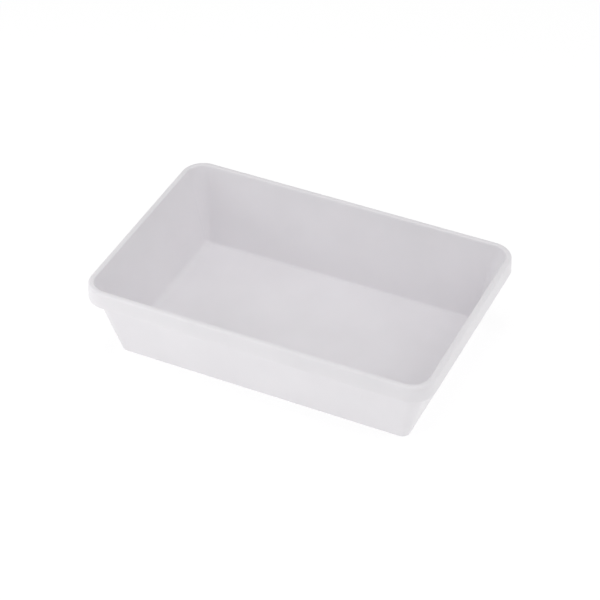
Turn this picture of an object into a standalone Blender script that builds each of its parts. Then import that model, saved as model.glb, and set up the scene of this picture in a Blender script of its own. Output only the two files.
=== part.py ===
"""Paint roller tray: a flat floor, four leaning walls and a rim that turns down outside them.

Metres, +Z up. The origin is the middle of the plane that the tray stands on, +X runs along its
length and +Y across its width.

The tray is one plastic moulding, so it is one solid. A section through its edge runs from the
floor up the inside of the wall, over the lip, down the outside of the skirt and up its inside,
and down the outside of the wall to the foot. The section of the two ends and that of the two
sides have the same points in the same order. Each pair of points becomes one rounded rectangle
round the tray, and the solid is the loft through these.
"""

import math

import bmesh
import bpy

MM = 0.001

# Overall size, to the lower edge of the skirt.
LENGTH = 230 * MM
WIDTH = 152 * MM
HEIGHT = 55 * MM

# Walls and floor. The walls lean outwards, and their lean is measured from upright.
WALL = 2.0 * MM
END_LEAN = math.radians(15.6)
SIDE_LEAN = math.radians(14.0)
FLOOR = 2.0 * MM
END_FLOOR_FILLET = 5.0 * MM
SIDE_FLOOR_FILLET = 2.0 * MM

# Rim. The lip is its top, and the skirt hangs from the lip's outer edge.
LIP_WIDTH = 3.6 * MM
LIP_THICKNESS = 1.5 * MM  # the least plastic over the groove
LIP_INNER_FILLET = 1.0 * MM
LIP_OUTER_FILLET = 1.8 * MM
SKIRT_DROP = 11 * MM
SKIRT_FLARE = 0.4 * MM  # how far its lower edge stands out past the lip
SKIRT_WALL = 1.3 * MM
SKIRT_EDGE_FILLET = 0.3 * MM
GROOVE_TOP_WIDTH = 0.8 * MM  # the groove between skirt and wall narrows upwards to this
GROOVE_FILLET = 0.3 * MM

# Foot: a low ring round the underside, with the middle of the floor clear of the table.
FOOT_HEIGHT = 0.5 * MM
FOOT_WIDTH = 5.0 * MM
BASE_FILLET = 2.0 * MM

# Corner radii, seen from above.
LIP_CORNER = 15 * MM  # the lip's outer edge
BASE_CORNER = 5.0 * MM  # the outside of the wall, at the foot
LEAST_CORNER = 0.5 * MM

CORNER_STEPS = 10  # faces round each corner of the tray
FILLET_STEPS = 4  # faces round each fillet of the section

WHITE = (0.80, 0.79, 0.81, 1.0)
ROUGHNESS = 0.42
SHARP_ANGLE = math.radians(40)


def edge_section(lean, floor_fillet):
    """The section's corners, each as (distance in, height, fillet, centre).

    Distances in are from the skirt's lower edge. The centre is that of the round corner that
    the section's corner draws on the tray, seen from above, as a distance in as well. The first
    is a point on the floor that only gives the floor's direction.
    """
    slope = math.tan(lean)
    wall_thickness = WALL / math.cos(lean)
    skirt_slope = SKIRT_FLARE / SKIRT_DROP
    rim_centre = SKIRT_FLARE + LIP_CORNER

    def outer_wall(z):
        return SKIRT_FLARE + LIP_WIDTH + slope * (HEIGHT - z) - wall_thickness

    def inner_wall(z):
        return outer_wall(z) + wall_thickness

    def wall_centre(z):
        base_centre = outer_wall(0) + BASE_CORNER
        return base_centre + (rim_centre - base_centre) * z / HEIGHT

    inside = FOOT_HEIGHT + FLOOR
    skirt_edge = HEIGHT - SKIRT_DROP
    gap_at_lip = outer_wall(HEIGHT) - SKIRT_FLARE - SKIRT_WALL
    groove_depth = (GROOVE_TOP_WIDTH - gap_at_lip) / (slope + skirt_slope)
    groove = HEIGHT - max(groove_depth, LIP_THICKNESS)
    inner_skirt = SKIRT_WALL + skirt_slope * (groove - skirt_edge)
    foot_inside = outer_wall(0) + FOOT_WIDTH
    return [
        (WIDTH / 2, inside, 0, 0),
        (inner_wall(inside), inside, floor_fillet, wall_centre(inside)),
        (inner_wall(HEIGHT), HEIGHT, LIP_INNER_FILLET, rim_centre),
        (SKIRT_FLARE, HEIGHT, LIP_OUTER_FILLET, rim_centre),
        (0, skirt_edge, SKIRT_EDGE_FILLET, rim_centre),
        (SKIRT_WALL, skirt_edge, SKIRT_EDGE_FILLET, rim_centre),
        (inner_skirt, groove, GROOVE_FILLET, rim_centre),
        (outer_wall(groove), groove, GROOVE_FILLET, wall_centre(groove)),
        (outer_wall(0), 0, BASE_FILLET, wall_centre(0)),
        (foot_inside, 0, 0, wall_centre(0)),
        (foot_inside + FOOT_HEIGHT, FOOT_HEIGHT, 0, wall_centre(0)),
    ]


def fillet(before, corner, after, radius):
    """Points of the arc that rounds a corner of the section."""
    x, z = corner
    to_before = math.atan2(before[1] - z, before[0] - x)
    to_after = math.atan2(after[1] - z, after[0] - x)
    between = (to_after - to_before + math.pi) % (2 * math.pi) - math.pi
    middle = to_before + between / 2
    to_centre = radius / math.sin(abs(between) / 2)
    centre = (x + to_centre * math.cos(middle), z + to_centre * math.sin(middle))
    turn = (math.pi - abs(between)) * math.copysign(1, between)
    points = []
    for step in range(FILLET_STEPS + 1):
        angle = middle + math.pi + turn * (0.5 - step / FILLET_STEPS)
        points.append((centre[0] + radius * math.cos(angle), centre[1] + radius * math.sin(angle)))
    return points


def rounded_section(lean, floor_fillet):
    """The section's points as (distance in, height, centre), with its fillets drawn."""
    corners = edge_section(lean, floor_fillet)
    points = []
    for before, (x, z, radius, centre), after in zip(corners, corners[1:], corners[2:]):
        if radius:
            arc = fillet(before[:2], (x, z), after[:2], radius)
            points += [(arc_x, arc_z, centre) for arc_x, arc_z in arc]
        else:
            points.append((x, z, centre))
    x, z, _, centre = corners[-1]
    points.append((x, z, centre))
    return points


def ring(end, side):
    """Points round the tray, anticlockwise from above, through a point of each section."""
    (inset_x, end_z, centre_x), (inset_y, side_z, centre_y) = end, side
    radius_x = max(centre_x - inset_x, LEAST_CORNER)
    radius_y = max(centre_y - inset_y, LEAST_CORNER)
    straight_x = LENGTH / 2 - inset_x - radius_x
    straight_y = WIDTH / 2 - inset_y - radius_y
    points = []
    for quarter, (side_x, side_y) in enumerate([(1, 1), (-1, 1), (-1, -1), (1, -1)]):
        for step in range(CORNER_STEPS + 1):
            angle = math.pi / 2 * (quarter + step / CORNER_STEPS)
            x = side_x * straight_x + radius_x * math.cos(angle)
            y = side_y * straight_y + radius_y * math.sin(angle)
            z = end_z * math.cos(angle) ** 2 + side_z * math.sin(angle) ** 2
            points.append((x, y, z))
    return points


def loft(name, rings):
    """A closed mesh through the rings, with a flat face across the first and the last."""
    mesh = bpy.data.meshes.new(name)
    bm = bmesh.new()
    loops = [[bm.verts.new(point) for point in points] for points in rings]
    for loop, after in zip(loops, loops[1:]):
        for i in range(len(loop)):
            bm.faces.new((loop[i - 1], loop[i], after[i], after[i - 1]))
    bm.faces.new(loops[0])
    bm.faces.new(reversed(loops[-1]))
    bmesh.ops.recalc_face_normals(bm, faces=bm.faces)
    bm.to_mesh(mesh)
    bm.free()
    mesh.shade_smooth()
    mesh.set_sharp_from_angle(angle=SHARP_ANGLE)
    return bpy.data.objects.new(name, mesh)


def white_plastic():
    material = bpy.data.materials.new("white_plastic")
    material.use_nodes = True
    shader = material.node_tree.nodes["Principled BSDF"]
    shader.inputs["Base Color"].default_value = WHITE
    shader.inputs["Roughness"].default_value = ROUGHNESS
    shader.inputs["Metallic"].default_value = 0.0
    return material


def main():
    for obj in list(bpy.data.objects):
        bpy.data.objects.remove(obj)
    collection = bpy.data.collections.new("paint_roller_tray")
    bpy.context.scene.collection.children.link(collection)
    ends = rounded_section(END_LEAN, END_FLOOR_FILLET)
    sides = rounded_section(SIDE_LEAN, SIDE_FLOOR_FILLET)
    tray = loft("tray", [ring(end, side) for end, side in zip(ends, sides)])
    tray.data.materials.append(white_plastic())
    collection.objects.link(tray)


main()
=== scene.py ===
"""A white moulded paint tray on a white light table, in soft studio light."""

import math

import bmesh
import bpy
from mathutils import Matrix, Vector


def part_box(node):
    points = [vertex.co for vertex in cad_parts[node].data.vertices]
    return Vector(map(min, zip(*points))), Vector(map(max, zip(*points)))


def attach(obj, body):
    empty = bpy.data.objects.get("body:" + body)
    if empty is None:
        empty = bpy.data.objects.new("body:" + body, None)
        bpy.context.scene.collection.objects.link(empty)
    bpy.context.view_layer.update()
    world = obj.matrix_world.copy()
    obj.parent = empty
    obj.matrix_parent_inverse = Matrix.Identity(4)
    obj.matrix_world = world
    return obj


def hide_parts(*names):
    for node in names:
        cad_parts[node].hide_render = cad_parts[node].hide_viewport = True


MM = 0.001

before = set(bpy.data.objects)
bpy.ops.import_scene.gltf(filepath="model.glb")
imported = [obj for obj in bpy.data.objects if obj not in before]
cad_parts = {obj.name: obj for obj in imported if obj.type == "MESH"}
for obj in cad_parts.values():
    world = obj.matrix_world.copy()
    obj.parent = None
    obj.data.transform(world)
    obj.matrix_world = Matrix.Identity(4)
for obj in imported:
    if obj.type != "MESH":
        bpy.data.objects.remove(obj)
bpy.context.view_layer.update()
low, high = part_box("tray")
LENGTH, WIDTH, HEIGHT = (high[axis] - low[axis] for axis in range(3))

# The tray's section, as the CAD solid has it.
WALL = 2.0 * MM
END_LEAN = math.radians(15.6)
SIDE_LEAN = math.radians(14.0)
FLOOR = 2.0 * MM
END_FLOOR_FILLET = 5.0 * MM
SIDE_FLOOR_FILLET = 2.0 * MM
LIP_WIDTH = 3.6 * MM
LIP_THICKNESS = 1.5 * MM
LIP_INNER_FILLET = 1.0 * MM
LIP_OUTER_FILLET = 1.8 * MM
SKIRT_DROP = 11 * MM
SKIRT_FLARE = 0.4 * MM
SKIRT_WALL = 1.3 * MM
SKIRT_EDGE_FILLET = 0.3 * MM
GROOVE_TOP_WIDTH = 0.8 * MM
GROOVE_FILLET = 0.3 * MM
FOOT_HEIGHT = 0.5 * MM
FOOT_WIDTH = 5.0 * MM
BASE_FILLET = 2.0 * MM
LIP_CORNER = 15 * MM
BASE_CORNER = 5.0 * MM
LEAST_CORNER = 0.5 * MM

# The mark that the moulding's gate leaves in the underside: a dimple with a nub in it.
DIMPLE_RADIUS = 5.0 * MM
DIMPLE_DEPTH = 0.4 * MM
DIMPLE_SLOPE = 0.6 * MM
NUB_RADIUS = 1.2 * MM
NUB_HEIGHT = 0.3 * MM
NUB_TOP_RADIUS = 0.8 * MM

# The plastic and its finish.
IOR = 1.49
SUBSURFACE_WEIGHT = 0.3
SUBSURFACE_RADIUS = (1.0, 0.95, 0.95)
SUBSURFACE_SCALE = 2.0 * MM
PALE = (0.812, 0.797, 0.820, 1)
DEEP = (0.790, 0.775, 0.798, 1)
MOTTLE = 35 * MM
MOTTLE_RANGE = (0.35, 0.65)  # the noise that goes from the deep colour to the pale one
SATIN_PATCH = 9 * MM
SATIN_RANGE = (0.3, 0.7)
SATIN = (0.38, 0.47)  # roughness
PEEL = 4.0 * MM
PEEL_DEPTH = 0.012 * MM
GRAIN = 0.5 * MM
GRAIN_DEPTH = 0.008 * MM
SCRATCH_TURNS = (0.5, 2.1)  # radians
SCRATCH_RANGE = (0.62, 0.70)  # only the highest of the noise becomes scratches
SCRATCH_LENGTH = 12 * MM
SCRATCH_WIDTH = 0.25 * MM
SCRATCH_DEPTH = 0.02 * MM
SCRATCH_ROUGHNESS = 0.10
RUBBED_LIP = 1.2 * MM
RUBBED_FOOT = 0.3 * MM
NOISE_DETAIL = 3

# How finely the surface is divided.
CORNER_STEPS = 20
FILLET_STEPS = 8
RUN_STEP = 9 * MM  # along the straight runs
SUPPORT = 0.7 * MM  # from a bend to the nearest division of the straight part beside it
SHARP_ANGLE = math.radians(35)

# Camera.
CAMERA_AZIMUTH = math.radians(25.1)
CAMERA_ELEVATION = math.radians(39.3)
CAMERA_DISTANCE = 1.341
CAMERA_AIM = Vector((-0.0010, 0, 0.0289))
LENS_MM = 128.6
SENSOR_MM = 36

# Light table.
FLOOR_HALF_WIDTH = 3
FLOOR_DROP = 0.2 * MM  # keeps it clear of the foot
FLOOR_GREY = (0.3, 0.3, 0.3, 1)
FLOOR_ROUGHNESS = 0.9
FLOOR_GLOW = 0.77

# Light.
WHITE = (1, 1, 1, 1)
SKY = 0.53
SOFTBOXES = [  # name, azimuth and elevation in degrees, distance and size in metres, watts
    ("right", 90, 40, 0.9, 0.6, 1.4),
    ("top", 0, 90, 0.9, 0.6, 1.65),
    ("near_front_left", 335, 25, 0.55, 0.3, 0.47),
    ("near_left", 285, 20, 0.55, 0.3, 0.3),
]


# ---------------------------------------------------------------- the tray


def edge_section(lean, floor_fillet):
    """The section's corners, each as (distance in, height, fillet, centre of the round corner)."""
    slope = math.tan(lean)
    wall_thickness = WALL / math.cos(lean)
    skirt_slope = SKIRT_FLARE / SKIRT_DROP
    rim_centre = SKIRT_FLARE + LIP_CORNER

    def outer_wall(z):
        return SKIRT_FLARE + LIP_WIDTH + slope * (HEIGHT - z) - wall_thickness

    def inner_wall(z):
        return outer_wall(z) + wall_thickness

    def wall_centre(z):
        base_centre = outer_wall(0) + BASE_CORNER
        return base_centre + (rim_centre - base_centre) * z / HEIGHT

    inside = FOOT_HEIGHT + FLOOR
    skirt_edge = HEIGHT - SKIRT_DROP
    gap_at_lip = outer_wall(HEIGHT) - SKIRT_FLARE - SKIRT_WALL
    groove_depth = (GROOVE_TOP_WIDTH - gap_at_lip) / (slope + skirt_slope)
    groove = HEIGHT - max(groove_depth, LIP_THICKNESS)
    inner_skirt = SKIRT_WALL + skirt_slope * (groove - skirt_edge)
    foot_inside = outer_wall(0) + FOOT_WIDTH
    floor_start = inner_wall(inside) + floor_fillet + SUPPORT
    underside_start = foot_inside + FOOT_HEIGHT
    return [
        (floor_start, inside, 0, wall_centre(inside)),
        (inner_wall(inside), inside, floor_fillet, wall_centre(inside)),
        (inner_wall(HEIGHT), HEIGHT, LIP_INNER_FILLET, rim_centre),
        (SKIRT_FLARE, HEIGHT, LIP_OUTER_FILLET, rim_centre),
        (0, skirt_edge, SKIRT_EDGE_FILLET, rim_centre),
        (SKIRT_WALL, skirt_edge, SKIRT_EDGE_FILLET, rim_centre),
        (inner_skirt, groove, GROOVE_FILLET, rim_centre),
        (outer_wall(groove), groove, GROOVE_FILLET, wall_centre(groove)),
        (outer_wall(0), 0, BASE_FILLET, wall_centre(0)),
        (foot_inside, 0, 0, wall_centre(0)),
        (underside_start, FOOT_HEIGHT, 0, wall_centre(0)),
        (underside_start + SUPPORT, FOOT_HEIGHT, 0, wall_centre(0)),
    ]


def fillet(before, corner, after, radius):
    """Points of the arc that rounds a corner of the section."""
    x, z = corner
    to_before = math.atan2(before[1] - z, before[0] - x)
    to_after = math.atan2(after[1] - z, after[0] - x)
    between = (to_after - to_before + math.pi) % (2 * math.pi) - math.pi
    middle = to_before + between / 2
    to_centre = radius / math.sin(abs(between) / 2)
    centre = (x + to_centre * math.cos(middle), z + to_centre * math.sin(middle))
    turn = (math.pi - abs(between)) * math.copysign(1, between)
    points = []
    for step in range(FILLET_STEPS + 1):
        angle = middle + math.pi + turn * (0.5 - step / FILLET_STEPS)
        points.append((centre[0] + radius * math.cos(angle), centre[1] + radius * math.sin(angle)))
    return points


def divisions(length):
    """Shares of a straight run at which it is divided, close to its ends and evenly between."""
    if length < 3 * SUPPORT:
        return []
    pieces = max(1, round(length / RUN_STEP))
    start = SUPPORT / length
    return [start + (1 - 2 * start) * piece / pieces for piece in range(pieces + 1)]


def rounded_section(lean, floor_fillet):
    """Runs of the section's points as (distance in, height, centre), one run for each corner."""
    corners = edge_section(lean, floor_fillet)
    runs = []
    for i, (x, z, radius, centre) in enumerate(corners):
        if radius:
            arc = fillet(corners[i - 1][:2], (x, z), corners[i + 1][:2], radius)
            runs.append([(arc_x, arc_z, centre) for arc_x, arc_z in arc])
        else:
            runs.append([(x, z, centre)])
    return runs


def matched_sections():
    """Pairs of points of the two sections, with the straight runs divided alike."""
    ends = rounded_section(END_LEAN, END_FLOOR_FILLET)
    sides = rounded_section(SIDE_LEAN, SIDE_FLOOR_FILLET)
    pairs = []
    for end_run, side_run in zip(ends, sides):
        if pairs:
            last_end, last_side = pairs[-1]
            length = math.dist(last_end[:2], end_run[0][:2])
            for share in divisions(length):
                pairs.append((mixed(last_end, end_run[0], share), mixed(last_side, side_run[0], share)))
        pairs += zip(end_run, side_run)
    return pairs


def mixed(a, b, share):
    return tuple(p + (q - p) * share for p, q in zip(a, b))


def ring(end, side):
    """Points round the tray, anticlockwise from above, through a point of each section."""
    (inset_x, end_z, centre_x), (inset_y, side_z, centre_y) = end, side
    radius_x = max(centre_x - inset_x, LEAST_CORNER)
    radius_y = max(centre_y - inset_y, LEAST_CORNER)
    straight_x = LENGTH / 2 - inset_x - radius_x
    straight_y = WIDTH / 2 - inset_y - radius_y
    corners = []
    for quarter, (side_x, side_y) in enumerate([(1, 1), (-1, 1), (-1, -1), (1, -1)]):
        corner = []
        for step in range(CORNER_STEPS + 1):
            angle = math.pi / 2 * (quarter + step / CORNER_STEPS)
            x = side_x * straight_x + radius_x * math.cos(angle)
            y = side_y * straight_y + radius_y * math.sin(angle)
            z = end_z * math.cos(angle) ** 2 + side_z * math.sin(angle) ** 2
            corner.append((x, y, z))
        corners.append(corner)
    points = []
    for i, corner in enumerate(corners):
        start, end_point = corner[-1], corners[(i + 1) % 4][0]
        nominal = (LENGTH if i % 2 == 0 else WIDTH) - 2 * LIP_CORNER
        points += corner + [mixed(start, end_point, share) for share in divisions(nominal)]
    return points


def gate_rings(last_ring):
    """Rings that carry the underside on from its last ring to the gate mark in its middle."""
    level = FOOT_HEIGHT
    raised = level + DIMPLE_DEPTH
    steps = [
        (DIMPLE_RADIUS + SUPPORT, level),
        (DIMPLE_RADIUS, level),
        (DIMPLE_RADIUS - DIMPLE_SLOPE, raised),
        (NUB_RADIUS, raised),
        (NUB_TOP_RADIUS, raised - NUB_HEIGHT),
    ]
    return [[circle_point(point, radius, z) for point in last_ring] for radius, z in steps]


def circle_point(point, radius, z):
    away = math.hypot(point[0], point[1])
    return (point[0] / away * radius, point[1] / away * radius, z)


def loft(name, rings):
    """A closed mesh through the rings, with a flat face across the first and the last."""
    mesh = bpy.data.meshes.new(name)
    bm = bmesh.new()
    loops = [[bm.verts.new(point) for point in points] for points in rings]
    for loop, after in zip(loops, loops[1:]):
        for i in range(len(loop)):
            bm.faces.new((loop[i - 1], loop[i], after[i], after[i - 1]))
    bm.faces.new(loops[0])
    bm.faces.new(reversed(loops[-1]))
    bmesh.ops.recalc_face_normals(bm, faces=bm.faces)
    bm.to_mesh(mesh)
    bm.free()
    mesh.shade_smooth()
    mesh.set_sharp_from_angle(angle=SHARP_ANGLE)
    return bpy.data.objects.new(name, mesh)


# ---------------------------------------------------------------- material


def white_polypropylene():
    """Satin white plastic: faint mottling, a moulded grain, and rubbing on the lip and the foot."""
    material = bpy.data.materials.new("white_polypropylene")
    material.use_nodes = True
    tree = material.node_tree
    shader = tree.nodes["Principled BSDF"]
    shader.inputs["IOR"].default_value = IOR
    shader.inputs["Subsurface Weight"].default_value = SUBSURFACE_WEIGHT
    shader.inputs["Subsurface Radius"].default_value = SUBSURFACE_RADIUS
    shader.inputs["Subsurface Scale"].default_value = SUBSURFACE_SCALE
    place = tree.nodes.new("ShaderNodeTexCoord").outputs["Object"]

    colour = tree.nodes.new("ShaderNodeMix")
    colour.data_type = "RGBA"
    colour.inputs["A"].default_value = DEEP
    colour.inputs["B"].default_value = PALE
    tree.links.new(spread(tree, noise(tree, place, MOTTLE), *MOTTLE_RANGE, 0, 1), colour.inputs["Factor"])
    tree.links.new(colour.outputs["Result"], shader.inputs["Base Color"])

    rubbed = math_node(tree, "MULTIPLY", scratches(tree, place), rubbed_height(tree, place))
    satin = spread(tree, noise(tree, place, SATIN_PATCH), *SATIN_RANGE, *SATIN)
    rougher = math_node(tree, "MULTIPLY_ADD", rubbed, SCRATCH_ROUGHNESS, satin)
    tree.links.new(rougher, shader.inputs["Roughness"])

    peel = bump(tree, noise(tree, place, PEEL), PEEL_DEPTH)
    grain = bump(tree, noise(tree, place, GRAIN), GRAIN_DEPTH, peel)
    worn = bump(tree, rubbed, -SCRATCH_DEPTH, grain)
    tree.links.new(worn, shader.inputs["Normal"])
    return material


def noise(tree, place, feature):
    """Noise whose lumps are about the size of the feature."""
    node = tree.nodes.new("ShaderNodeTexNoise")
    node.inputs["Scale"].default_value = 1 / feature
    node.inputs["Detail"].default_value = NOISE_DETAIL
    tree.links.new(place, node.inputs["Vector"])
    return node.outputs["Fac"]


def scratches(tree, place):
    """Thin straight scratches in two directions."""
    layers = []
    for turn in SCRATCH_TURNS:
        stretch = tree.nodes.new("ShaderNodeMapping")
        stretch.inputs["Rotation"].default_value = (0, 0, turn)
        stretch.inputs["Scale"].default_value = (1 / SCRATCH_LENGTH, 1 / SCRATCH_WIDTH, 1 / SCRATCH_LENGTH)
        tree.links.new(place, stretch.inputs["Vector"])
        lines = noise(tree, stretch.outputs["Vector"], 1)
        layers.append(spread(tree, lines, *SCRATCH_RANGE, 0, 1))
    return math_node(tree, "MAXIMUM", *layers)


def rubbed_height(tree, place):
    """1 on the top of the lip and on the foot, and 0 between them."""
    split = tree.nodes.new("ShaderNodeSeparateXYZ")
    tree.links.new(place, split.inputs["Vector"])
    z = split.outputs["Z"]
    lip = spread(tree, z, HEIGHT - RUBBED_LIP, HEIGHT, 0, 1)
    foot = spread(tree, z, 0, RUBBED_FOOT, 1, 0)
    return math_node(tree, "MAXIMUM", lip, foot)


def spread(tree, value, low_in, high_in, low_out, high_out):
    node = tree.nodes.new("ShaderNodeMapRange")
    settings = {"From Min": low_in, "From Max": high_in, "To Min": low_out, "To Max": high_out}
    for name, number in settings.items():
        node.inputs[name].default_value = number
    tree.links.new(value, node.inputs["Value"])
    return node.outputs["Result"]


def math_node(tree, operation, *values):
    """A Math node of sockets and plain numbers."""
    node = tree.nodes.new("ShaderNodeMath")
    node.operation = operation
    for socket, value in zip(node.inputs, values):
        if isinstance(value, (int, float)):
            socket.default_value = value
        else:
            tree.links.new(value, socket)
    return node.outputs["Value"]


def bump(tree, height, depth, below=None):
    node = tree.nodes.new("ShaderNodeBump")
    node.inputs["Distance"].default_value = abs(depth)
    node.invert = depth < 0
    tree.links.new(height, node.inputs["Height"])
    if below:
        tree.links.new(below, node.inputs["Normal"])
    return node.outputs["Normal"]


# ---------------------------------------------------------------- stage


def camera():
    back = Vector((
        math.sin(CAMERA_AZIMUTH) * math.cos(CAMERA_ELEVATION),
        -math.cos(CAMERA_AZIMUTH) * math.cos(CAMERA_ELEVATION),
        math.sin(CAMERA_ELEVATION),
    ))
    right = Vector((math.cos(CAMERA_AZIMUTH), math.sin(CAMERA_AZIMUTH), 0))
    data = bpy.data.cameras.new("camera")
    data.sensor_width = SENSOR_MM
    data.lens = LENS_MM
    obj = bpy.data.objects.new("camera", data)
    turn = Matrix((right, back.cross(right), back)).transposed().to_4x4()
    obj.matrix_world = Matrix.Translation(CAMERA_AIM + back * CAMERA_DISTANCE) @ turn
    bpy.context.scene.collection.objects.link(obj)
    bpy.context.scene.camera = obj


def light_table():
    mesh = bpy.data.meshes.new("floor")
    bm = bmesh.new()
    bmesh.ops.create_grid(bm, x_segments=1, y_segments=1, size=FLOOR_HALF_WIDTH)
    bm.to_mesh(mesh)
    bm.free()
    floor = bpy.data.objects.new("floor", mesh)
    floor.location.z = -FLOOR_DROP
    material = bpy.data.materials.new("floor")
    material.use_nodes = True
    shader = material.node_tree.nodes["Principled BSDF"]
    shader.inputs["Base Color"].default_value = FLOOR_GREY
    shader.inputs["Roughness"].default_value = FLOOR_ROUGHNESS
    shader.inputs["Specular IOR Level"].default_value = 0.0
    shader.inputs["Emission Color"].default_value = WHITE
    shader.inputs["Emission Strength"].default_value = FLOOR_GLOW
    mesh.materials.append(material)
    bpy.context.scene.collection.objects.link(floor)


def sky():
    world = bpy.data.worlds.new("world")
    world.use_nodes = True
    background = world.node_tree.nodes["Background"]
    background.inputs["Color"].default_value = WHITE
    background.inputs["Strength"].default_value = SKY
    bpy.context.scene.world = world


def softbox(name, azimuth, elevation, distance, size, watts):
    """A square light that faces the tray. Azimuth 0 is in front of it, and 90 is on its right."""
    azimuth, elevation = math.radians(azimuth), math.radians(elevation)
    towards = Vector((
        math.sin(azimuth) * math.cos(elevation),
        -math.cos(azimuth) * math.cos(elevation),
        math.sin(elevation),
    ))
    data = bpy.data.lights.new(name, "AREA")
    data.shape = "SQUARE"
    data.size = size
    data.energy = watts
    light = bpy.data.objects.new(name, data)
    light.location = towards * distance + Vector((0, 0, HEIGHT / 2))
    light.rotation_euler = towards.to_track_quat("Z", "Y").to_euler()
    light.visible_camera = False
    bpy.context.scene.collection.objects.link(light)


tray_rings = [ring(end, side) for end, side in matched_sections()]
tray = loft("tray_moulding", tray_rings + gate_rings(tray_rings[-1]))
tray.data.materials.append(white_polypropylene())
bpy.context.scene.collection.objects.link(tray)
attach(tray, "root")
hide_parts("tray")

camera()
light_table()
sky()
for softbox_settings in SOFTBOXES:
    softbox(*softbox_settings)
bpy.context.scene.view_settings.view_transform = "Standard"
